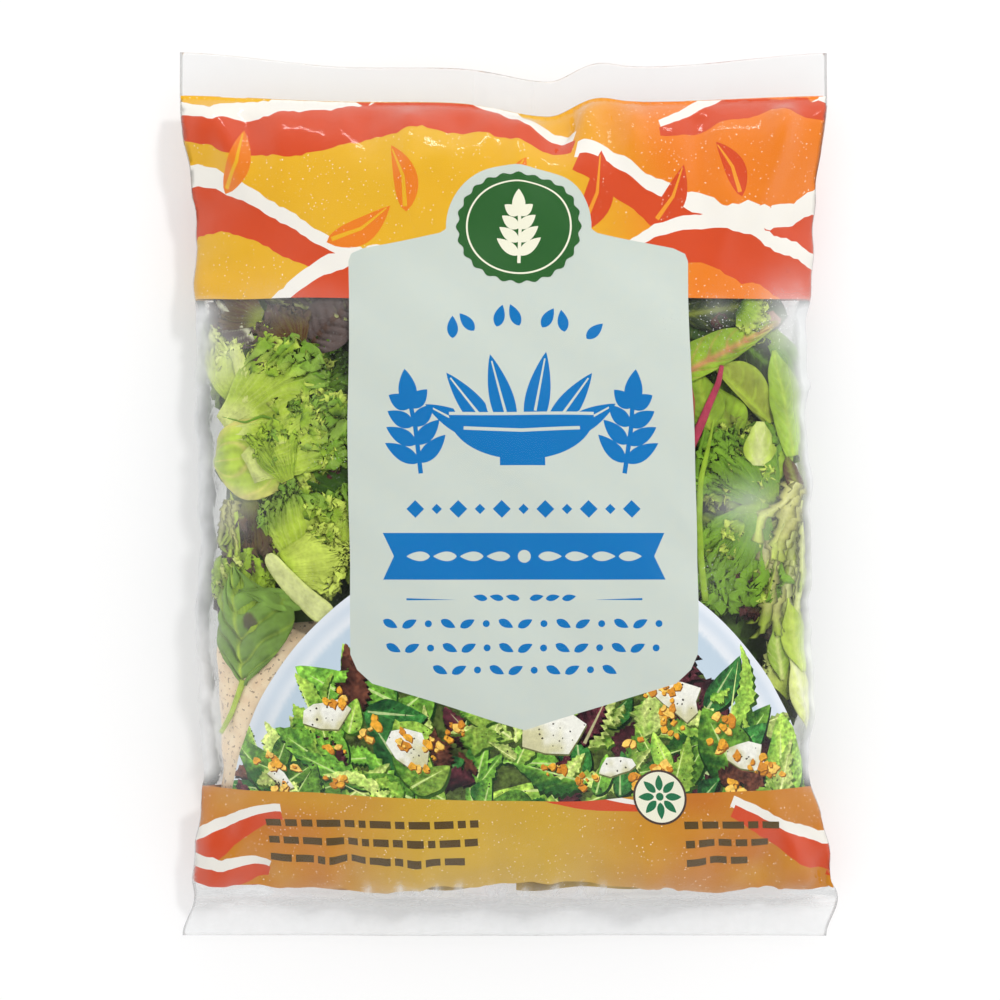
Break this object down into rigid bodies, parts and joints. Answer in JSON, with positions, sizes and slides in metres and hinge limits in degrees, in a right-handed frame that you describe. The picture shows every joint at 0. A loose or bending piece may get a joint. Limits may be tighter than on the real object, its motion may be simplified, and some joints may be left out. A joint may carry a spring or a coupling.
{
  "type": "salad kit bag",
  "caption": "Sealed pillow bag of mixed salad leaves in clear printed film, lying on its back with the front up and a flat seal at each end.",
  "frame": {"origin": "middle of the flat patch on the back that the bag rests on", "axes": "+X across the front to the right, +Y towards the top seal, +Z out of the front"},
  "size_m": [0.219, 0.2938, 0.0543],
  "materials": {
    "bag_film": "clear glossy film",
    "print_ink": "glossy ink printed inside clear film",
    "leaf": "fresh moist leaf",
    "sachet": "pale satin film pouch"
  },
  "bodies": {
    "root": {"salad_bag": "bag_film"}
  },
  "joints": []
}
